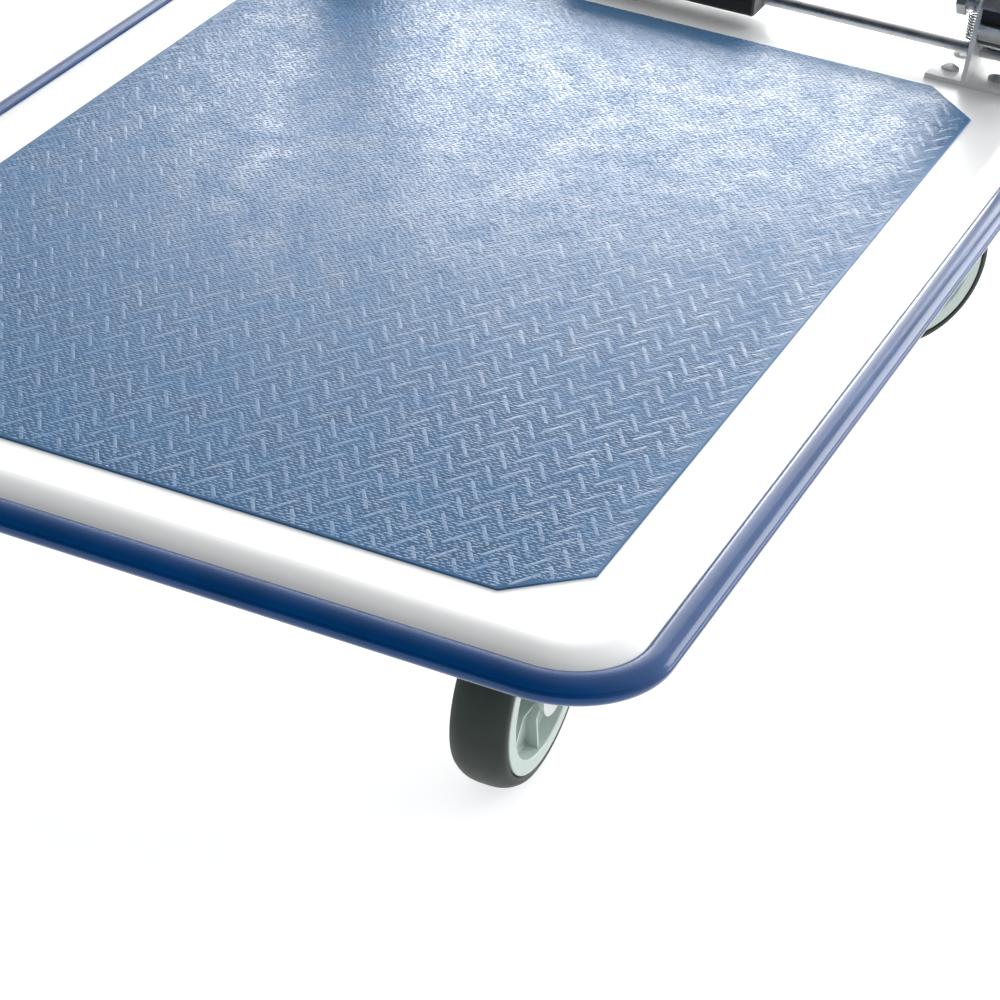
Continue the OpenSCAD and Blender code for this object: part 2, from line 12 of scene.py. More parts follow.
import bmesh
import bpy
import numpy as np
from mathutils import Matrix, Vector


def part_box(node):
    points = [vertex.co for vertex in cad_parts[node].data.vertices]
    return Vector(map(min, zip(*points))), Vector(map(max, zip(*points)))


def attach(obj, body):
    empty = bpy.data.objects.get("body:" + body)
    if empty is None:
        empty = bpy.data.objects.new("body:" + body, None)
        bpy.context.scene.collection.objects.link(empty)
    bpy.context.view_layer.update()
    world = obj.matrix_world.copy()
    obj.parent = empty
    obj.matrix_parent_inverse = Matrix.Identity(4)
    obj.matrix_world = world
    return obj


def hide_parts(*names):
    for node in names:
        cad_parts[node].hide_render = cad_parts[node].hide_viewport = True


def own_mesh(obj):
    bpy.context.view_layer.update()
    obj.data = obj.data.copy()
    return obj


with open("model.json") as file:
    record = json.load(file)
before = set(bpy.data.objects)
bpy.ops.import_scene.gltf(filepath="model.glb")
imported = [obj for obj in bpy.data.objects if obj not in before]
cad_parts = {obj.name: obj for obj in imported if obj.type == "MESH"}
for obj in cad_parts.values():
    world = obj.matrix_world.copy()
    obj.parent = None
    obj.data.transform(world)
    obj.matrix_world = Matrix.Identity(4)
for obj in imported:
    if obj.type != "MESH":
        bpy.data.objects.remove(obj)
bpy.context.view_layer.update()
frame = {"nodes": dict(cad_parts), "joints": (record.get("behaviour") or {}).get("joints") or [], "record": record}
nodes = frame["nodes"]
body_of = {node: body for body, members in frame["record"]["behaviour"]["bodies"].items()
           for node in members}

# %% [markdown]
# ## Places that everything else is measured from
# A maker reads sizes off the parts on the bench. Here they are read off the boxes of the
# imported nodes, so that each new piece lands where its engineering solid is.

# %% Read the main sizes
MM = 0.001
bumper_low, bumper_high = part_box("bumper")
deck_low, deck_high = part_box("deck_pan")
mat_low, mat_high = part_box("deck_mat")
half_length, half_width = bumper_high[0], bumper_high[1]
deck_top = deck_high[2]
mat_top = mat_high[2]
print("bumper half length and width", round(half_length, 4), round(half_width, 4))
print("deck top", round(deck_top, 4), "mat top", round(mat_top, 4))

# %% [markdown]
# ## Helpers for meshes
# Most pieces are made from lists of points and faces. `build` turns those lists into an
# object, gives it a finish, and says which body carries it and which plain solid it
# stands for.

# %% Make an object from points and faces


def smooth_by_angle(piece, degrees=40):
    """Rounds the shading across shallow edges and keeps the sharp ones crisp."""
    mesh = piece.data
    mesh.shade_smooth()
    mesh.set_sharp_from_angle(angle=math.radians(degrees))


def build(name, points, faces, finish, body, stands_for=(), smooth=40):
    mesh = bpy.data.meshes.new(name)
    mesh.from_pydata([tuple(p) for p in points], [], [tuple(f) for f in faces])
    mesh.validate()
    mesh.update()
    return place(name, mesh, finish, body, stands_for, smooth)


def place(name, mesh, finish, body, stands_for=(), smooth=40):
    piece = bpy.data.objects.new(name, mesh)
    bpy.context.scene.collection.objects.link(piece)
    piece.data.materials.clear()
    piece.data.materials.append(finish)
    if smooth:
        smooth_by_angle(piece, smooth)
    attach(piece, body)
    if stands_for:
        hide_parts(*stands_for)
    return piece


def face_outward(mesh):
    """Turns every face of a closed mesh to the outside."""
    work = bmesh.new()
    work.from_mesh(mesh)
    bmesh.ops.recalc_face_normals(work, faces=work.faces)
    work.to_mesh(mesh)
    work.free()


# %% [markdown]
# ## The view
# A long lens from a little above the deck's front corner keeps the deck's edges nearly
# straight. The camera leans a few degrees, as a hand-held one does, so its turn is built
# from the three directions: where it looks, what is level, and how far it leans.

# %% Set up the camera
camera_place = Vector(mat_high) + Vector((1.1394, 0.3935, 0.7660))
look = Vector((-0.8046, -0.3033, -0.5105)).normalized()
lean = math.radians(-5.74)
focal_length_mm = 120.7

level = look.cross(Vector((0, 0, 1))).normalized()
upright = level.cross(look)
right_hand = level * math.cos(lean) - upright * math.sin(lean)
overhead = right_hand.cross(look)
camera_data = bpy.data.cameras.new("view")
camera_data.sensor_width = 36.0
camera_data.lens = focal_length_mm
camera_data.clip_end = 50.0
camera = bpy.data.objects.new("view", camera_data)
turn = Matrix((right_hand, overhead, -look)).transposed()
camera.matrix_world = Matrix.Translation(camera_place) @ turn.to_4x4()
bpy.context.scene.collection.objects.link(camera)
bpy.context.scene.camera = camera
print("camera right", [round(c, 3) for c in right_hand], "up", [round(c, 3) for c in overhead])

# %% [markdown]
# ## A bright sweep and light from behind
# Catalogue pictures of white goods stand the object on a white sweep that is lit as
# brightly as the object, so hardly any shadow is left. Here the light comes from behind:
# the room is bright past the handle and dark on the camera's side, so that glossy blue
# edges stay deep in front and turn pale along the side. The floor gives off part of its
# light itself, as a lit sweep does.

# %% The floor
bpy.context.scene.view_settings.view_transform = "Standard"
bpy.context.scene.view_settings.look = "None"

floor_half = 12.0
floor_mesh = bpy.data.meshes.new("floor")
floor_mesh.from_pydata([(-floor_half, -floor_half, 0), (floor_half, -floor_half, 0),
                        (floor_half, floor_half, 0), (-floor_half, floor_half, 0)],
                       [], [(0, 1, 2, 3)])
floor = bpy.data.objects.new("floor", floor_mesh)
lit_floor = bpy.data.materials.new("lit_floor")
lit_floor.use_nodes = True
floor_shader = lit_floor.node_tree.nodes["Principled BSDF"]
floor_shader.inputs["Base Color"].default_value = (0.45, 0.45, 0.45, 1)
floor_shader.inputs["Roughness"].default_value = 0.9
floor_shader.inputs["Specular IOR Level"].default_value = 0.1
floor_shader.inputs["Emission Color"].default_value = (0.985, 0.99, 1.0, 1)
floor_shader.inputs["Emission Strength"].default_value = 0.74
floor_mesh.materials.append(lit_floor)
bpy.context.scene.collection.objects.link(floor)
print("floor", 2 * floor_half, "m wide")

# %% [markdown]
# The sky is one smooth slope of light: its brightness depends on how far a direction
# turns towards the bright back of the room.

# %% The room's light
bright_way = Vector((-0.90, 0.35, 0.25)).normalized()
darkest, brightest = 0.04, 2.5

sky = bpy.data.worlds.new("room_light")
sky.use_nodes = True
tree = sky.node_tree
background = tree.nodes["Background"]
background.inputs["Color"].default_value = (0.975, 0.985, 1.0, 1)
way = tree.nodes.new("ShaderNodeTexCoord")
turned = tree.nodes.new("ShaderNodeVectorMath")
turned.operation = "DOT_PRODUCT"
turned.inputs[1].default_value = bright_way
slope = tree.nodes.new("ShaderNodeMapRange")
slope.inputs["From Min"].default_value = -0.6
slope.inputs["From Max"].default_value = 1.0
curve = tree.nodes.new("ShaderNodeMath")
curve.operation = "POWER"
curve.inputs[1].default_value = 2.0
level_up = tree.nodes.new("ShaderNodeMath")
level_up.operation = "MULTIPLY_ADD"
level_up.inputs[1].default_value = brightest - darkest
level_up.inputs[2].default_value = darkest
tree.links.new(way.outputs["Generated"], turned.inputs[0])
tree.links.new(turned.outputs["Value"], slope.inputs["Value"])
tree.links.new(slope.outputs["Result"], curve.inputs[0])
tree.links.new(curve.outputs["Value"], level_up.inputs[0])
tree.links.new(level_up.outputs["Value"], background.inputs["Strength"])
bpy.context.scene.world = sky


def soft_lamp(name, place_at, aim_at, size, watts, mirrored=True):
    lamp_data = bpy.data.lights.new(name, "AREA")
    lamp_data.shape = "RECTANGLE"
    lamp_data.size, lamp_data.size_y = size
    lamp_data.energy = watts
    lamp = bpy.data.objects.new(name, lamp_data)
    lamp.location = place_at
    lamp.rotation_euler = (Vector(aim_at) - Vector(place_at)).to_track_quat("-Z", "Y").to_euler()
    lamp.visible_glossy = mirrored
    bpy.context.scene.collection.objects.link(lamp)
    return lamp


soft_lamp("back_window", (-2.6, -0.35, 0.95), (0, 0.1, 0.15), (2.3, 0.75), 85)
soft_lamp("side_window", (-2.3, 1.9, 0.75), (0, 0.2, 0.15), (1.6, 1.1), 26)
soft_lamp("front_fill", (2.6, 0.6, 1.9), (0.2, 0.1, 0.15), (1.6, 1.2), 15, mirrored=False)

# %% [markdown]
# ## Finishes
# Each real finish has grain at its own size: powder coat has orange peel about a
# millimetre across, moulded plastic has a fine matt skin, rubber has a bloom. A finish
# here is a shader with its plain numbers set on it, plus noise that shifts the colour,
# the gloss and the surface by small amounts at a true size.

# %% A finish with grain


def finish_with_grain(name, colour, roughness, *, metallic=0.0, coat=0.0, coat_rough=0.1,
                      sheen=0.0, specular=0.5, shift=0.06, cloud_mm=40.0,
                      grain_mm=1.0, grain_depth_mm=0.02, rough_shift=0.06,
                      dusty_top=0.0, stretch=(1, 1, 1)):
    """A shader whose colour drifts over cloud_mm and whose skin has grain of grain_mm."""
    finish = bpy.data.materials.new(name)
    finish.use_nodes = True
    tree = finish.node_tree
    shader = tree.nodes["Principled BSDF"]
    shader.inputs["Metallic"].default_value = metallic
    shader.inputs["Coat Weight"].default_value = coat
    shader.inputs["Coat Roughness"].default_value = coat_rough
    shader.inputs["Sheen Weight"].default_value = sheen
    shader.inputs["Specular IOR Level"].default_value = specular

    place_in = tree.nodes.new("ShaderNodeTexCoord")
    scaled = tree.nodes.new("ShaderNodeMapping")
    scaled.inputs["Scale"].default_value = stretch
    tree.links.new(place_in.outputs["Object"], scaled.inputs["Vector"])

    cloud = tree.nodes.new("ShaderNodeTexNoise")
    cloud.inputs["Scale"].default_value = 1.0 / (cloud_mm * MM)
    cloud.inputs["Detail"].default_value = 4.0
    tree.links.new(scaled.outputs["Vector"], cloud.inputs["Vector"])

    tint = tree.nodes.new("ShaderNodeValToRGB")
    dark = tuple(c * (1 - shift) for c in colour)
    light = tuple(min(1.0, c * (1 + shift)) for c in colour)
    tint.color_ramp.elements[0].position = 0.3
    tint.color_ramp.elements[0].color = (*dark, 1)
    tint.color_ramp.elements[1].position = 0.7
    tint.color_ramp.elements[1].color = (*light, 1)
    tree.links.new(cloud.outputs["Fac"], tint.inputs["Fac"])
    tree.links.new(tint.outputs["Color"], shader.inputs["Base Color"])

    gloss = tree.nodes.new("ShaderNodeMapRange")
    gloss.inputs["From Min"].default_value = 0.3
    gloss.inputs["From Max"].default_value = 0.7
    gloss.inputs["To Min"].default_value = max(0.02, roughness - rough_shift)
    gloss.inputs["To Max"].default_value = min(1.0, roughness + rough_shift)
    tree.links.new(cloud.outputs["Fac"], gloss.inputs["Value"])
    tree.links.new(gloss.outputs["Result"], shader.inputs["Roughness"])
    if dusty_top:
        facing = tree.nodes.new("ShaderNodeNewGeometry")
        upward = tree.nodes.new("ShaderNodeSeparateXYZ")
        dust = tree.nodes.new("ShaderNodeMapRange")
        dust.inputs["From Min"].default_value = 0.90
        dust.inputs["From Max"].default_value = 0.99
        dust.inputs["To Max"].default_value = dusty_top
        duller = tree.nodes.new("ShaderNodeMath")
        duller.operation = "MAXIMUM"
        tree.links.new(facing.outputs["Normal"], upward.inputs["Vector"])
        tree.links.new(upward.outputs["Z"], dust.inputs["Value"])
        tree.links.new(dust.outputs["Result"], duller.inputs[0])
        tree.links.new(gloss.outputs["Result"], duller.inputs[1])
        tree.links.new(duller.outputs["Value"], shader.inputs["Roughness"])

    grain = tree.nodes.new("ShaderNodeTexNoise")
    grain.inputs["Scale"].default_value = 1.0 / (grain_mm * MM)
    grain.inputs["Detail"].default_value = 3.0
    tree.links.new(scaled.outputs["Vector"], grain.inputs["Vector"])
    bump = tree.nodes.new("ShaderNodeBump")
    bump.inputs["Strength"].default_value = 1.0
    bump.inputs["Distance"].default_value = grain_depth_mm * MM
    tree.links.new(grain.outputs["Fac"], bump.inputs["Height"])
    tree.links.new(bump.outputs["Normal"], shader.inputs["Normal"])
    return finish


# %% [markdown]
# The deck and its channels are dipped and powder coated: white, satin, with orange peel.
# The mat is soft vinyl. The bumper is a harder, glossy vinyl, so it mirrors the bright
# room where it is seen at a low angle; fine dust dulls the part that faces straight up.

# %% Deck, mat and bumper finishes
deck_paint = finish_with_grain("deck_paint", (0.78, 0.79, 0.785), 0.38, coat=0.25,
                               coat_rough=0.25, shift=0.02, cloud_mm=60, grain_mm=1.6,
                               grain_depth_mm=0.012)
mat_vinyl = finish_with_grain("mat_vinyl", (0.030, 0.120, 0.260), 0.43, specular=0.36,
                              shift=0.10, cloud_mm=22, grain_mm=0.7, grain_depth_mm=0.05,
                              rough_shift=0.08)
bumper_vinyl = finish_with_grain("bumper_vinyl", (0.0005, 0.045, 0.170), 0.13, specular=0.28,
                                 shift=0.12, cloud_mm=30, grain_mm=2.5,
                                 grain_depth_mm=0.02, rough_shift=0.05, dusty_top=0.45)

# %% [markdown]
# Wheels: dark grey rubber with a dusty bloom round a pale nylon core. Metal parts are
# zinc plated, which is a satin grey with brushed and cloudy patches. The handle is blue
# powder coat, its grip is black foam, and the latch parts are black moulded plastic.

# %% Wheel, metal and handle finishes
tyre_rubber = finish_with_grain("tyre_rubber", (0.017, 0.027, 0.024), 0.50, specular=0.3,
                                shift=0.18, cloud_mm=14, grain_mm=0.6, grain_depth_mm=0.04)
wheel_plastic = finish_with_grain("wheel_plastic", (0.47, 0.55, 0.52), 0.42, shift=0.03,
                                  cloud_mm=25, grain_mm=0.5, grain_depth_mm=0.015)
zinc_plate = finish_with_grain("zinc_plate", (0.62, 0.63, 0.64), 0.34, metallic=1.0,
                               shift=0.10, cloud_mm=9, grain_mm=0.8, grain_depth_mm=0.012,
                               rough_shift=0.10)
bright_steel = finish_with_grain("bright_steel", (0.72, 0.72, 0.74), 0.14, metallic=1.0,
                                 shift=0.05, cloud_mm=5, grain_mm=0.5, grain_depth_mm=0.003)
spring_steel = finish_with_grain("spring_steel", (0.50, 0.50, 0.52), 0.28, metallic=1.0,
                                 shift=0.12, cloud_mm=4, grain_mm=0.5, grain_depth_mm=0.006)
handle_paint = finish_with_grain("handle_paint", (0.004, 0.030, 0.140), 0.28, coat=0.5,
                                 coat_rough=0.18, shift=0.08, cloud_mm=50, grain_mm=1.5,
                                 grain_depth_mm=0.015)
grip_foam = finish_with_grain("grip_foam", (0.016, 0.016, 0.017), 0.85, sheen=0.4,
                              shift=0.25, cloud_mm=6, grain_mm=0.8, grain_depth_mm=0.12)
black_plastic = finish_with_grain("black_plastic", (0.020, 0.020, 0.022), 0.48, shift=0.15,
                                  cloud_mm=12, grain_mm=0.45, grain_depth_mm=0.03)
pedal_rubber = finish_with_grain("pedal_rubber", (0.020, 0.020, 0.021), 0.7, sheen=0.3,
                                 shift=0.2, cloud_mm=10, grain_mm=0.6, grain_depth_mm=0.05)

finish_of_slot = {
    "deck_paint": deck_paint, "mat_vinyl": mat_vinyl, "bumper_vinyl": bumper_vinyl,
    "tyre_rubber": tyre_rubber, "wheel_plastic": wheel_plastic, "zinc_steel": zinc_plate,
    "bearing_steel": bright_steel, "handle_paint": handle_paint, "grip_foam": grip_foam,
    "black_plastic": black_plastic, "pedal_rubber": pedal_rubber,
    "spring_steel": spring_steel,
}
slot_of = {part["node"]: part["material_slot"] for part in frame["record"]["subparts"]}

# %% [markdown]
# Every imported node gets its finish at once. The pieces that are rebuilt further on take
# the same finishes, so nothing shows a bare default.

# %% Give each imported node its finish
for node, solid in nodes.items():
    for slot in solid.material_slots:
        slot.material = finish_of_slot[slot_of[node]]
    smooth_by_angle(solid, 32)
print("finishes set on", len(nodes), "nodes")

# %% [markdown]
# ## Edges that catch the light
# No pressed, turned or moulded edge is perfectly sharp. For the metal and plastic parts
# a copy of the solid is cleaned to large flat faces, and a small bevel runs along its
# sharp edges. The copy stands for the solid.

# %% Break the edges of the solid parts


def broken_edges(node, width_mm, segments=2, sharper_than=38):
    mesh = nodes[node].data.copy()
    work = bmesh.new()
    work.from_mesh(mesh)
    bmesh.ops.remove_doubles(work, verts=work.verts, dist=2e-6)
    bmesh.ops.dissolve_limit(work, angle_limit=math.radians(0.5), verts=work.verts,
                             edges=work.edges)
    work.to_mesh(mesh)
    work.free()
    piece = place(node + "_finished", mesh, finish_of_slot[slot_of[node]], body_of[node],
                  (node,), smooth=None)
    bevel = piece.modifiers.new("broken_edges", "BEVEL")
    bevel.width = width_mm * MM
    bevel.segments = segments
    bevel.limit_method = "ANGLE"
    bevel.angle_limit = math.radians(sharper_than)
    bevel.use_clamp_overlap = True
    bevel.harden_normals = False
    smooth_by_angle(piece, 35)
    return piece


sides = ("left", "right")
edge_widths_mm = {"hinge_bolts": 0.5, "hinge_nuts": 0.4, "stop_pins": 0.4,
                  "bracket_nuts": 0.3, "caster_nuts": 0.4, "caster_bolts": 0.4,
                  "front_axle_bolts": 0.4, "front_axle_nuts": 0.4, "release_bar": 0.6,
                  "bar_clips": 0.2, "front_channel": 0.5, "rear_channel": 0.5,
                  "centre_rib": 0.5}
for side in sides:
    edge_widths_mm.update({
        f"{side}_hinge_bracket": 0.5, f"{side}_knuckle": 0.8, f"{side}_catch_lugs": 0.3,
        f"front_{side}_fork": 0.5,
        f"rear_{side}_top_plate": 0.5, f"rear_{side}_yoke": 0.5,
        f"rear_{side}_kingpin": 0.5, f"rear_{side}_lower_cup": 0.4,
        f"rear_{side}_axle_bolt": 0.4, f"rear_{side}_axle_nut": 0.4,
    })
for node, width in edge_widths_mm.items():
    broken_edges(node, width)
print("edges broken on", len(edge_widths_mm), "parts")

# %% [markdown]
# ## The mat
# The mat is embossed vinyl. Two things are pressed into it: smooth ribs in a herringbone,
# and fine ripples that fill the ground between them. Both are real shapes here. The ribs
# lie in rows across the deck; every second row leans the other way.

# %% Cut the sheet and lay the ribs
mat_cut = 33 * MM
rib_length, rib_width, rib_height = 18 * MM, 2.4 * MM, 0.07 * MM
rib_lean = math.radians(30)
row_pitch, rib_pitch = 9.8 * MM, 16.2 * MM
ground_z = mat_top - 0.50 * MM
x_low, y_low = mat_low[0], mat_low[1]
x_high, y_high = mat_high[0], mat_high[1]


def stretch_inside(x, y, angle, length, margin):
    """The part of a line through (x, y) that stays margin inside the mat's outline."""
    ux, uy = math.cos(angle), math.sin(angle)
    start, stop = -length / 2, length / 2
    for sx, sy in ((1, 0), (-1, 0), (0, 1), (0, -1), (1, 1), (1, -1), (-1, 1), (-1, -1)):
        reach = (x_high if sx > 0 else -x_low if sx else 0) + (
            y_high if sy > 0 else -y_low if sy else 0)
        if sx and sy:
            reach -= mat_cut
        room = reach - margin * math.hypot(sx, sy) - (sx * x + sy * y)
        step = sx * ux + sy * uy
        if abs(step) < 1e-9:
            if room < 0:
                return None
        elif step > 0:
            stop = min(stop, room / step)
        else:
            start = max(start, room / step)
    return (start, stop) if stop - start > 5 * MM else None


def mat_outline(inset):
    cut = mat_cut - inset * (2 - math.sqrt(2))
    x0, x1, y0, y1 = x_low + inset, x_high - inset, y_low + inset, y_high - inset
    return [(x1, y0 + cut), (x1, y1 - cut), (x1 - cut, y1), (x0 + cut, y1),
            (x0, y1 - cut), (x0, y0 + cut), (x0 + cut, y0), (x1 - cut, y0)]


def sheet_mesh(points, faces):
    """The sheet itself, with a soft upper edge."""
    rings = [(0.0, deck_top + 0.02 * MM), (0.0, ground_z - 0.4 * MM),
             (0.12 * MM, ground_z - 0.12 * MM), (0.4 * MM, ground_z)]
    start = len(points)
    for inset, z in rings:
        points += [(x, y, z) for x, y in mat_outline(inset)]
    for ring in range(len(rings) - 1):
        for i in range(8):
            a, b = start + ring * 8 + i, start + ring * 8 + (i + 1) % 8
            faces.append((a, b, b + 8, a + 8))
    faces.append([start + 8 * (len(rings) - 1) + i for i in range(8)])
    faces.append([start + i for i in reversed(range(8))])


def add_rib(points, faces, cx, cy, angle, length, width, height, base_z):
    """A low domed rib with narrowed ends."""
    along = np.array([math.cos(angle), math.sin(angle)])
    beside = np.array([-along[1], along[0]])
    outline = [(0.5, 0.25), (0.42, 0.5), (-0.42, 0.5), (-0.5, 0.25),
               (-0.5, -0.25), (-0.42, -0.5), (0.42, -0.5), (0.5, -0.25)]
    start = len(points)
    for z, shrink_l, shrink_w in ((base_z - 0.05 * MM, 1.0, 1.0),
                                  (base_z + 0.55 * height, 0.97, 0.78),
                                  (base_z + 0.88 * height, 0.93, 0.48),
                                  (base_z + height, 0.88, 0.16)):
        for u, v in outline:
            p = np.array([cx, cy]) + along * u * length * shrink_l + beside * v * width * shrink_w
            points.append((p[0], p[1], z))
    for ring in (0, 8, 16):
        for i in range(8):
            a, b = start + ring + i, start + ring + (i + 1) % 8
            faces.append((a, b, b + 8, a + 8))
    faces.append([start + 24 + i for i in range(8)])


points, faces = [], []
sheet_mesh(points, faces)
rib_centres = []
rows = int((y_high - y_low) / row_pitch) + 3
per_row = int((x_high - x_low) / rib_pitch) + 2
for row in range(rows):
    y = y_high - (row - 0.35) * row_pitch
    way = 1 if row % 2 == 0 else -1
    for k in range(per_row):
        x = x_high - (k + 0.3 + 0.5 * (row % 2)) * rib_pitch
        kept = stretch_inside(x, y, way * rib_lean, rib_length, 1.9 * MM)
        if kept:
            middle, length = (kept[0] + kept[1]) / 2, kept[1] - kept[0]
            x += middle * math.cos(way * rib_lean)
            y_mid = y + middle * math.sin(way * rib_lean)
            rib_centres.append((x, y_mid, way))
            add_rib(points, faces, x, y_mid, way * rib_lean, length, rib_width, rib_height,
                    ground_z)
mat_piece = build("mat_sheet", points, faces, mat_vinyl, "deck", ("deck_mat",), smooth=50)
print("mat ribs", len(rib_centres))

# %% [markdown]
# The ripples are thousands of short, low ridges that lie across the deck, a couple of
# millimetres apart. They are made in one go as number arrays, because a loop over each
# would be slow. They run on over the sides of the ribs and leave only the crests clear.

# %% Press the ripples into the ground
ripple_pitch_x, ripple_pitch_y = 2.0 * MM, 3.7 * MM
ripple_length, ripple_width, ripple_height = 4.0 * MM, 1.6 * MM, 0.28 * MM
clear_crest = rib_width / 2 - 0.85 * MM
dice = np.random.default_rng(7)


def ripple_centres():
    xs = np.arange(x_low + 1.2 * MM, x_high - 1.0 * MM, ripple_pitch_x)
    ys = np.arange(y_low + 2.2 * MM, y_high - 2.0 * MM, ripple_pitch_y)
    gx, gy = np.meshgrid(xs, ys, indexing="ij")
    gy = gy + (np.arange(len(xs))[:, None] % 2) * 0.5 * ripple_pitch_y
    centres = np.stack([gx.ravel(), gy.ravel()], 1)
    centres += dice.uniform(-1, 1, centres.shape) * np.array([0.28, 0.6]) * MM
    side_x = np.minimum(centres[:, 0] - x_low, x_high - centres[:, 0])
    side_y = np.minimum(centres[:, 1] - y_low, y_high - centres[:, 1])
    keep = (side_x > 0.9 * MM) & (side_y > 2.3 * MM)
    keep &= side_x + side_y - mat_cut > 2.2 * MM
    return centres[keep]


def clear_of_ribs(centres):
    keep = np.ones(len(centres), bool)
    for way in (1, -1):
        along = np.array([math.cos(way * rib_lean), math.sin(way * rib_lean)])
        beside = np.array([-along[1], along[0]])
        for x, y, w in rib_centres:
            if w != way:
                continue
            near = np.flatnonzero((np.abs(centres[:, 0] - x) < 12 * MM)
                                  & (np.abs(centres[:, 1] - y) < 9 * MM))
            local = centres[near] - (x, y)
            on_rib = (np.abs(local @ along) < rib_length / 2) & (
                np.abs(local @ beside) < clear_crest)
            keep[near[on_rib]] = False
    return centres[keep]


centres = clear_of_ribs(ripple_centres())
count = len(centres)
unit = np.array([(0, -0.5, 0), (0.5, -0.22, 0), (0.5, 0.22, 0), (0, 0.5, 0),
                 (-0.5, 0.22, 0), (-0.5, -0.22, 0), (0, -0.25, 1), (0, 0.25, 1)])
sizes = np.stack([ripple_width * dice.uniform(0.85, 1.15, count),
                  ripple_length * dice.uniform(0.6, 1.15, count),
                  ripple_height * dice.uniform(0.75, 1.1, count)], 1)
swing = dice.uniform(-0.22, 0.22, count) + 0.10
local = unit[None, :, :] * sizes[:, None, :]
cos_s, sin_s = np.cos(swing)[:, None], np.sin(swing)[:, None]
ripple_points = np.empty((count, 8, 3))
ripple_points[..., 0] = centres[:, None, 0] + local[..., 0] * cos_s - local[..., 1] * sin_s
ripple_points[..., 1] = centres[:, None, 1] + local[..., 0] * sin_s + local[..., 1] * cos_s
ripple_points[..., 2] = ground_z - 0.02 * MM + local[..., 2]
unit_faces = np.array([(0, 1, 6), (1, 2, 7), (1, 7, 6), (2, 3, 7), (3, 4, 7), (4, 5, 6),
                       (4, 6, 7), (5, 0, 6)])
ripple_faces = (unit_faces[None] + 8 * np.arange(count)[:, None, None]).reshape(-1, 3)
ripple_mesh = bpy.data.meshes.new("mat_ripples")
ripple_mesh.vertices.add(count * 8)
ripple_mesh.vertices.foreach_set("co", ripple_points.ravel())
ripple_mesh.loops.add(len(ripple_faces) * 3)
ripple_mesh.loops.foreach_set("vertex_index", ripple_faces.ravel().astype(np.int32))
ripple_mesh.polygons.add(len(ripple_faces))
ripple_mesh.polygons.foreach_set("loop_start", np.arange(0, len(ripple_faces) * 3, 3,
                                                         dtype=np.int32))
ripple_mesh.update(calc_edges=True)
ripple_mesh.validate()
ripples = place("mat_ripples", ripple_mesh, mat_vinyl, "deck", smooth=None)
ripple_mesh.shade_smooth()
print("mat ripples", count)

# %% [markdown]
# ## Sweeping a section round the deck
# The deck's rolled edge and the bumper both run round a rectangle with round corners.
# One helper carries a section along that path: a section point's first number is its
# distance from the centre of the corner arc, and its second is its height.

# %% Sweep helper
corner_radius = 51.5 * MM
corner_steps = 28


def path_round_deck():
    """Yields (centre x, centre y, direction) round the deck, corner after corner."""
    cx, cy = half_length - corner_radius, half_width - corner_radius
    stations = []
    for corner, (sx, sy) in enumerate(((1, 1), (-1, 1), (-1, -1), (1, -1))):
        for step in range(corner_steps + 1):
            angle = math.pi / 2 * (corner + step / corner_steps)
            stations.append((sx * cx, sy * cy, angle))
    return stations


def sweep_round(section, closed=True):
    """Points and faces of a section carried once round the deck."""
    stations = path_round_deck()
    points = [(cx + math.cos(a) * x, cy + math.sin(a) * x, z)
              for cx, cy, a in stations for x, z in section]
    n, m = len(section), len(stations)
    faces = []
    last = n if closed else n - 1
    for s in range(m):
        for i in range(last):
            j = (i + 1) % n
            t = (s + 1) % m
            faces.append((s * n + i, t * n + i, t * n + j, s * n + j))
    return points, faces, n, m


# %% [markdown]
# ## The pressed deck
# A press folds the sheet's rim over a large radius and turns a lip in under it. The
# section runs out over the roll, down the skirt, round the lip and back along the
# inside, one sheet thickness away. Two flat faces then close the middle.

# %% Press the deck
sheet = 1.5 * MM
roll = 19 * MM
bead = 7.5 * MM
skirt_x = corner_radius - bead
flat_x = skirt_x - roll
roll_z = deck_top - roll
skirt_z = deck_low[2]
lip = 10 * MM
roll_steps = 14


def arc(cx, cz, radius, start, stop, steps):
    return [(cx + radius * math.cos(math.radians(start + (stop - start) * i / steps)),
             cz + radius * math.sin(math.radians(start + (stop - start) * i / steps)))
            for i in range(steps + 1)]


outside = arc(flat_x, roll_z, roll, 90, 0, roll_steps)
outside += arc(skirt_x - 2.2 * MM, skirt_z + 2.2 * MM, 2.2 * MM, 0, -90, 6)
outside += [(skirt_x - lip, skirt_z), (skirt_x - lip, skirt_z + sheet)]
inside = arc(skirt_x - 2.2 * MM, skirt_z + 2.2 * MM, 0.7 * MM, -90, 0, 4)
inside += arc(flat_x, roll_z, roll - sheet, 0, 90, roll_steps)
section = outside + inside
points, faces, n, m = sweep_round(section, closed=False)
faces.append([s * n for s in range(m)])
faces.append([s * n + n - 1 for s in reversed(range(m))])
deck = build("deck_pressing", points, faces, deck_paint, "deck", ("deck_pan",), smooth=35)
face_outward(deck.data)
print("deck pressing", len(points), "points")

# %% [markdown]
# ## The bumper
# The bumper is an extruded vinyl strip that is stretched round the rim. Its face is a
# flattened band above and a fuller bead below, with a shallow crease between them. Its
# back hugs the rolled edge of the deck.

# %% Extrude the bumper round the rim
bead_z = mat_top - 12 * MM
roll_gap = 0.05 * MM


def on_roll(angle):
    """A point just outside the deck's roll, at an angle from level."""
    a = math.radians(angle)
    return (flat_x + (roll + roll_gap) * math.cos(a), roll_z + (roll + roll_gap) * math.sin(a))


crease_angle = 8
band_top = 138


def on_bead(angle, sunk=0.0):
    """A point of the bead's outline, sunk below its full round by a length."""
    a = math.radians(angle)
    return (skirt_x + (bead - sunk) * math.cos(a), bead_z + (bead - sunk) * math.sin(a))


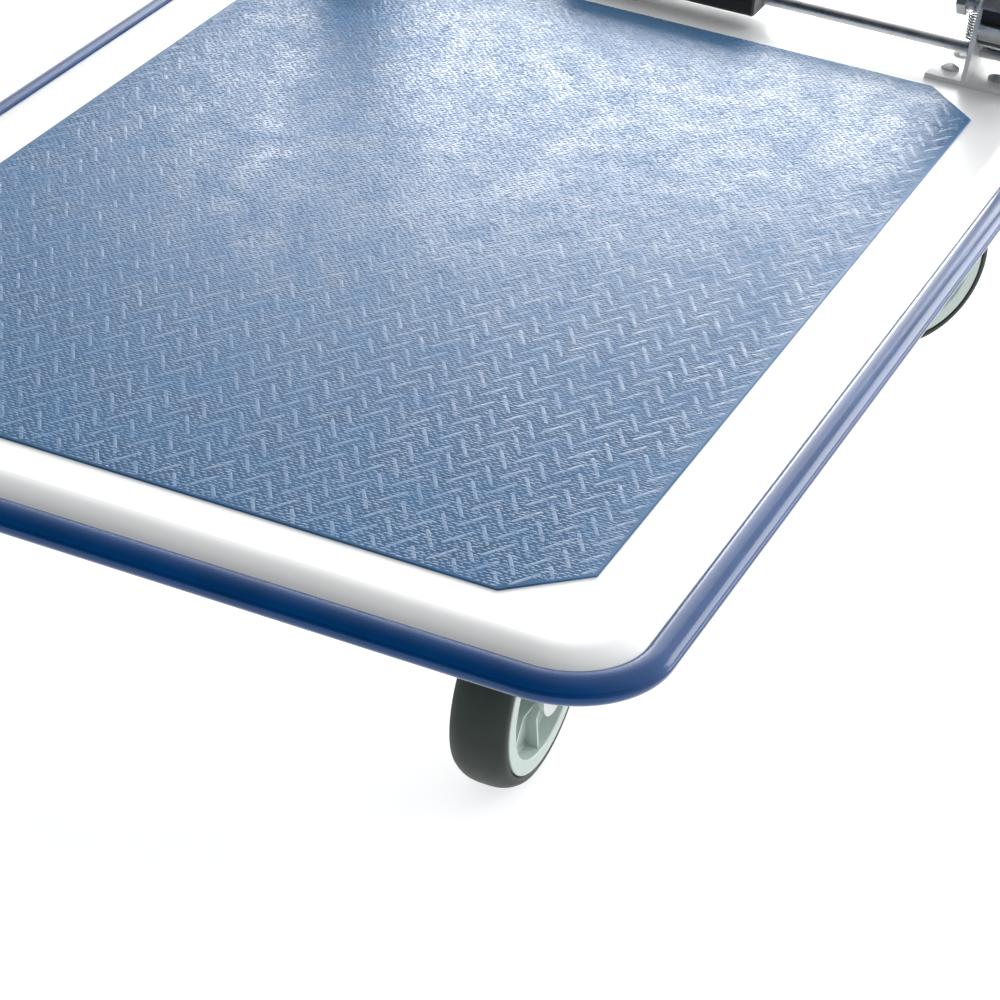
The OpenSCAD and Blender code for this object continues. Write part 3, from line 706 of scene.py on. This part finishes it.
upper = [on_bead(a, 1.3 * MM * math.sin(math.pi * (a - crease_angle) / (band_top - crease_angle)))
         for a in range(band_top, crease_angle + 3, -5)]
crease = [on_bead(crease_angle, 0.9 * MM)]
lower = [on_bead(a) for a in range(crease_angle - 8, -91, -7)]
back = [(skirt_x + roll_gap, bead_z - bead + 0.2 * MM), (skirt_x + roll_gap, roll_z)]
back += [on_roll(a) for a in (6, 14, 22, 30, 38, 45)]
section = upper + crease + lower + back
points, faces, n, m = sweep_round(section)
bumper = build("bumper_strip", points, faces, bumper_vinyl, "deck",
               ("bumper", "bumper_seam_clip"), smooth=60)
face_outward(bumper.data)
print("bumper strip", len(points), "points")

# %% [markdown]
# ## Turning wheels on a lathe
# A wheel is a turned shape with ribs. `turn_round` spins a section about an axle, and
# the section's first number is the radius and its second the place along the axle.

# %% Lathe helper
turn_steps = 96


def turn_round(section, closed=True, steps=turn_steps):
    points = [(r * math.cos(2 * math.pi * s / steps), y, r * math.sin(2 * math.pi * s / steps))
              for s in range(steps) for r, y in section]
    n = len(section)
    faces = []
    for s in range(steps):
        t = (s + 1) % steps
        for i in range(n if closed else n - 1):
            j = (i + 1) % n
            faces.append((s * n + i, s * n + j, t * n + j, t * n + i))
    return points, faces


def add_box(points, faces, corners):
    """A closed block from two rings of corners, one per side."""
    n = len(corners) // 2
    start = len(points)
    points += corners
    for i in range(n):
        j = (i + 1) % n
        faces.append((start + i, start + j, start + n + j, start + n + i))
    faces.append([start + i for i in reversed(range(n))])
    faces.append([start + n + i for i in range(n)])


joints = {j["name"]: j for j in frame["joints"]}


def axle_place(wheel):
    """The matrix that carries a wheel made at the origin to its axle."""
    joint = joints[wheel + "_spin"]
    axis = Vector(joint["axis"]).normalized()
    turned = math.atan2(-axis.x, axis.y)
    return Matrix.Translation(Vector(joint["pos_m"])) @ Matrix.Rotation(turned, 4, "Z")


# %% [markdown]
# ## The wheels
# The tyre is moulded round the core, with a crowned tread, round shoulders and a fine
# parting line round its middle. The core has a wide flat rim. Its web is thin round the
# hub and thicker outside that, and thin ribs cross both.

# %% Mould the tyres and cores
tyre_low, tyre_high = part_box("front_left_tyre")
wheel_radius = (tyre_high[2] - tyre_low[2]) / 2
tyre_half = (tyre_high[1] - tyre_low[1]) / 2
core_radius = wheel_radius - 9.2 * MM
tread_drop = 5.4 * MM


def tyre_section():
    """The moulded tread, its round shoulders, and the seat on the core."""
    section = [(core_radius - 0.3 * MM, tyre_half - 3.2 * MM),
               (core_radius + 0.9 * MM, tyre_half - 1.9 * MM),
               (core_radius + 1.4 * MM, tyre_half - 1.5 * MM)]
    steps = 26
    for i in range(steps, -steps - 1, -1):
        u = i / steps
        r = wheel_radius - tread_drop * abs(u) ** 3
        side = min(abs(u) * tyre_half, tyre_half - 0.02 * MM)
        if abs(u) > 0.9:
            sink = (abs(u) - 0.9) / 0.1
            r -= 1.6 * MM * sink ** 2
            side -= 0.5 * MM * sink ** 3
        section.append((r, math.copysign(side, u)))
    section += [(core_radius + 1.4 * MM, 1.5 * MM - tyre_half),
                (core_radius + 0.9 * MM, 1.9 * MM - tyre_half),
                (core_radius - 0.3 * MM, 3.2 * MM - tyre_half)]
    middle = 3 + steps
    r, y = section[middle]
    section[middle:middle + 1] = [(r - 0.02 * MM, 0.35 * MM), (r, 0.0),
                                  (r - 0.02 * MM, -0.35 * MM)]
    return section


rim = 7.4 * MM
web, shelf = 2 * MM, 6 * MM
hub, recess = 11 * MM, 21 * MM
bore = 6.06 * MM
face = tyre_half - 0.4 * MM
ribs = 6
rib_turn = math.radians(30)
rib_half = 0.8 * MM


def core_section():
    """The core without its ribs: rim, stepped web and hub of one turned shape."""
    barrel = core_radius - rim
    half = [(bore, tyre_half), (hub - 0.6 * MM, tyre_half), (hub, tyre_half - 0.6 * MM),
            (hub + 0.5 * MM, web + 0.8 * MM), (hub + 1.3 * MM, web),
            (recess - 1.2 * MM, web), (recess - 0.3 * MM, web + 0.9 * MM),
            (recess, shelf - 0.4 * MM), (recess + 0.4 * MM, shelf),
            (barrel - 1.6 * MM, shelf), (barrel - 0.4 * MM, shelf + 1.2 * MM),
            (barrel + 0.2 * MM, face - 0.5 * MM), (barrel + 0.7 * MM, face),
            (core_radius + 0.3 * MM, face), (core_radius + 0.7 * MM, face - 0.4 * MM),
            (core_radius + 0.7 * MM, face - 1.4 * MM), (core_radius, face - 1.4 * MM)]
    return half + [(r, -y) for r, y in reversed(half)]


def core_rib(angle, side):
    """A thin rib from the hub to the rim on one face of the web."""
    inner, outer = hub - 0.6 * MM, core_radius - rim + 0.6 * MM
    top = tyre_half - 2 * MM
    edge = [(inner, web - 0.5 * MM), (outer, web - 0.5 * MM), (outer, top),
            (recess, top - 2.5 * MM), (inner, top)]
    corners = []
    for offset in (-rib_half, rib_half):
        for r, y in edge:
            corners.append((r * math.cos(angle) - offset * math.sin(angle), side * y,
                            r * math.sin(angle) + offset * math.cos(angle)))
    return corners


def make_wheel(wheel):
    to_axle = axle_place(wheel)
    points, faces = turn_round(tyre_section())
    tyre = build(wheel + "_tyre_moulding", [to_axle @ Vector(p) for p in points], faces,
                 tyre_rubber, wheel, (nodes_of(wheel, "_tyre"),), smooth=50)
    face_outward(tyre.data)
    points, faces = turn_round(core_section())
    for i in range(ribs):
        for side in (1, -1):
            add_box(points, faces, core_rib(2 * math.pi * i / ribs + rib_turn, side))
    core = build(wheel + "_core_moulding", [to_axle @ Vector(p) for p in points], faces,
                 wheel_plastic, wheel, (nodes_of(wheel, "_core"),), smooth=35)
    face_outward(core.data)
    return tyre, core


def nodes_of(wheel, ending):
    """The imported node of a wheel's body that has this ending."""
    return wheel.replace("_wheel", "") + ending


for end in ("front", "rear"):
    for side in sides:
        make_wheel(f"{end}_{side}_wheel")
print("wheels made")

# %% [markdown]
# ## The grip
# The grip is a foam sleeve pushed over the top bar. Shallow grooves round it give the
# fingers hold, and its ends are rounded.

# %% Mould the grip
grip_low, grip_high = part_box("handle_grip")
grip_centre = (Vector(grip_low) + Vector(grip_high)) / 2
grip_half = (grip_high[1] - grip_low[1]) / 2
grip_radius = (grip_high[2] - grip_low[2]) / 2
tube_radius = 12.5 * MM
groove_pitch, groove_depth = 9 * MM, 0.7 * MM


def grip_section():
    section = [(tube_radius, -grip_half), (grip_radius - 1.8 * MM, -grip_half)]
    steps = 160
    for i in range(steps + 1):
        y = (-1 + 2 * i / steps) * (grip_half - 1.2 * MM)
        end_gap = (grip_half - 1.2 * MM) - abs(y)
        r = grip_radius
        if end_gap > 6 * MM:
            r -= groove_depth * max(0.0, math.cos(2 * math.pi * y / groove_pitch)) ** 6
        else:
            r -= 0.9 * MM * max(0.0, 1 - end_gap / (1.5 * MM)) ** 2
        section.append((r, y))
    section += [(grip_radius - 1.8 * MM, grip_half), (tube_radius, grip_half)]
    return section


points, faces = turn_round(grip_section(), steps=64)
grip = build("grip_sleeve", [grip_centre + Vector(p) for p in points], faces, grip_foam,
             "handle", ("handle_grip",), smooth=45)
face_outward(grip.data)
print("grip", len(points), "points")

# %% [markdown]
# ## The pedal
# The foot presses a rubber pad that is slid over the bar. Ribs across its top keep a
# shoe from slipping.

# %% Mould the pedal
pedal_low, pedal_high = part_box("pedal")
pedal_half_x = (pedal_high[0] - pedal_low[0]) / 2
pedal_half_y = (pedal_high[1] - pedal_low[1]) / 2
pedal_x = (pedal_high[0] + pedal_low[0]) / 2
pedal_mid = (pedal_low[2] + pedal_high[2]) / 2
pedal_end, end_shrink = 1.2 * MM, 0.93


def pedal_section():
    """The pad's outline across the bar, with grooves in its upper face."""
    top, bottom = pedal_high[2], pedal_low[2]
    radius = 3.2 * MM
    section = arc(pedal_half_x - radius, bottom + radius, radius, -90, 0, 6)
    section += arc(pedal_half_x - radius, top - radius, radius, 0, 90, 6)
    grooves = 6
    span = 2 * (pedal_half_x - radius)
    for g in range(grooves):
        x = pedal_half_x - radius - span * (g + 0.5) / grooves
        section += [(x + 1.3 * MM, top), (x + 0.8 * MM, top - 1.1 * MM),
                    (x - 0.8 * MM, top - 1.1 * MM), (x - 1.3 * MM, top)]
    section += arc(radius - pedal_half_x, top - radius, radius, 90, 180, 6)
    section += arc(radius - pedal_half_x, bottom + radius, radius, 180, 270, 6)
    return section


section = pedal_section()
points = [(pedal_x + x * scale, y, pedal_mid + (z - pedal_mid) * scale)
          for y, scale in ((-pedal_half_y, end_shrink), (pedal_end - pedal_half_y, 1.0),
                           (pedal_half_y - pedal_end, 1.0), (pedal_half_y, end_shrink))
          for x, z in section]
n = len(section)
faces = [(r * n + i, r * n + (i + 1) % n, (r + 1) * n + (i + 1) % n, (r + 1) * n + i)
         for r in range(3) for i in range(n)]
faces += [list(reversed(range(n))), [3 * n + i for i in range(n)]]
pedal = build("pedal_pad", points, faces, pedal_rubber, "foot_release", ("pedal",), smooth=35)
face_outward(pedal.data)
print("pedal", len(points), "points")

# %% [markdown]
# ## The release springs
# Two small extension springs hang between the hinge bolts and the foot bar. Each is one
# wire: a loop round the bolt, a close coil, and a loop round the bar. When the bar rises,
# the spring shortens.

# %% Wind the springs
wire_radius = 0.65 * MM
coil_radius = 3.3 * MM
coil_pitch = 1.75 * MM
wire_sides = 8


def wire_round(path):
    """Points and faces of a round wire along a path, closed at both ends."""
    path = [Vector(p) for p in path]
    points, faces = [], []
    side = Vector((0, 1, 0))
    for i, p in enumerate(path):
        along = (path[min(i + 1, len(path) - 1)] - path[max(i - 1, 0)]).normalized()
        side = (side - along * side.dot(along)).normalized()
        other = along.cross(side)
        for k in range(wire_sides):
            a = 2 * math.pi * k / wire_sides
            points.append(p + wire_radius * (math.cos(a) * side + math.sin(a) * other))
    for i in range(len(path) - 1):
        for k in range(wire_sides):
            a, b = i * wire_sides + k, i * wire_sides + (k + 1) % wire_sides
            faces.append((a, a + wire_sides, b + wire_sides, b))
    faces.append(list(range(wire_sides)))
    faces.append([len(points) - 1 - k for k in range(wire_sides)])
    return points, faces


pivot = Vector(joints["handle_fold"]["pos_m"])
bar_low, bar_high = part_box("release_bar")
bar_z = (bar_low[2] + bar_high[2]) / 2
spring_low, spring_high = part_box("release_springs")
bolt_radius, bar_radius = 5 * MM, (bar_high[2] - bar_low[2]) / 2


def spring_path(y):
    """The wire's middle line: bolt loop, coil, bar loop."""
    top_loop = bolt_radius + wire_radius + 0.15 * MM
    low_loop = bar_radius + wire_radius + 0.15 * MM
    top = pivot.z - top_loop - 1.2 * MM
    low = bar_z + low_loop + 1.2 * MM
    path = []
    for i in range(25):
        a = math.radians(-80 + 330 * i / 24)
        path.append((pivot.x + top_loop * math.cos(a), y, pivot.z + top_loop * math.sin(a)))
    turns = (top - low) / coil_pitch
    steps = int(turns * 16)
    for i in range(steps + 1):
        a = math.pi + 2 * math.pi * turns * i / steps
        path.append((pivot.x + coil_radius * math.cos(a), y + coil_radius * math.sin(a),
                     top + (low - top) * i / steps))
    for i in range(25):
        a = math.radians(110 + 320 * i / 24)
        path.append((pivot.x + low_loop * math.cos(a), y, bar_z + low_loop * math.sin(a)))
    return path


spring_y = spring_high[1] - 4 * MM
points, faces = [], []
for y in (spring_y, -spring_y):
    more_points, more_faces = wire_round(spring_path(y))
    faces += [[i + len(points) for i in f] for f in more_faces]
    points += more_points
springs = build("release_spring_coils", points, faces, spring_steel, "deck",
                ("release_springs",), smooth=60)
face_outward(springs.data)
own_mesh(springs)
